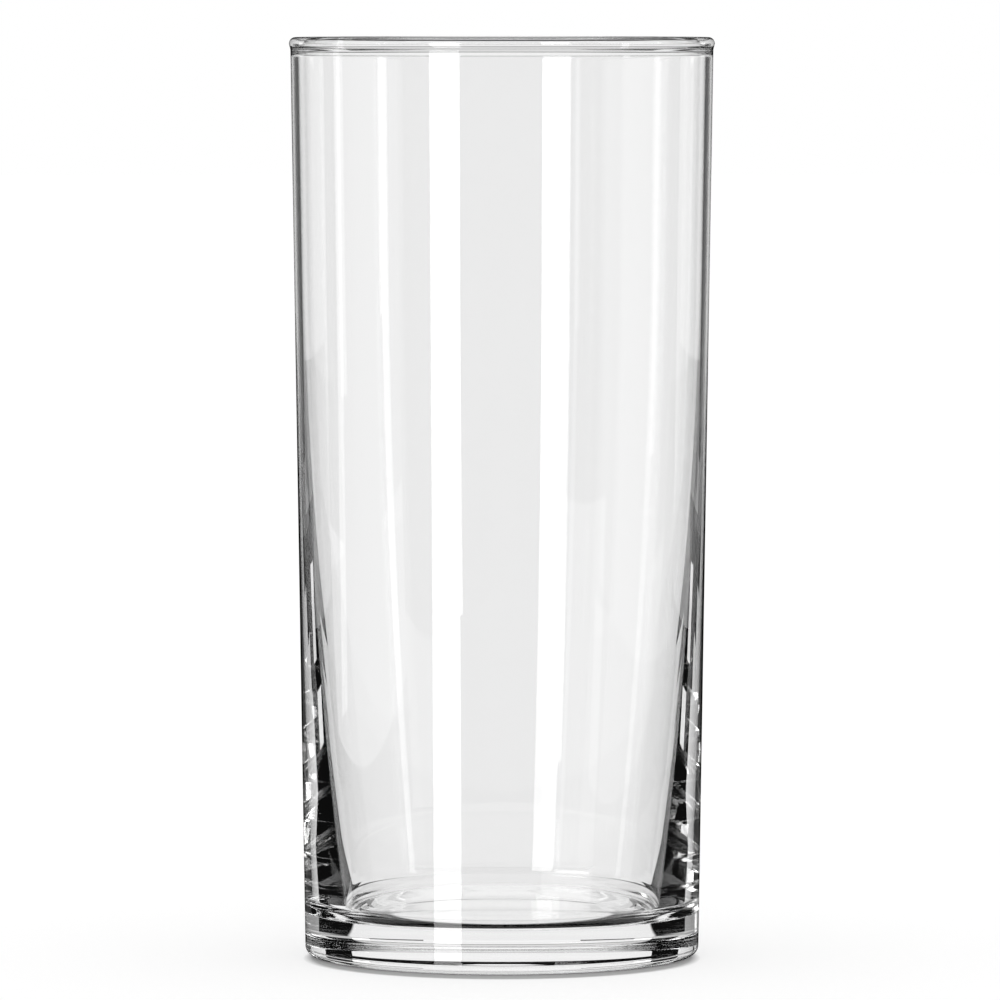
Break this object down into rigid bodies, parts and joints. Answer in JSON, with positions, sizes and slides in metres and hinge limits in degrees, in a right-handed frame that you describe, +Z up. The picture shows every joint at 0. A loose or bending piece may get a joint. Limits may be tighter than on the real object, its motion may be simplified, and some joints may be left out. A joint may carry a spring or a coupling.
{
  "type": "zombie glass",
  "caption": "Tall, gently tapered bar tumbler of clear glass with a thick base, a rounded bowl floor and a beaded lip, for long mixed drinks.",
  "frame": {"origin": "centre of the ring that the glass stands on, at table level", "axes": "+Z up the glass's axis to the mouth; X and Y are free, because the glass is round"},
  "size_m": [0.0674, 0.0674, 0.146],
  "materials": {
    "clear_glass": "clear, fire-polished soda-lime glass"
  },
  "bodies": {
    "root": {"tumbler": "clear_glass"}
  },
  "joints": []
}
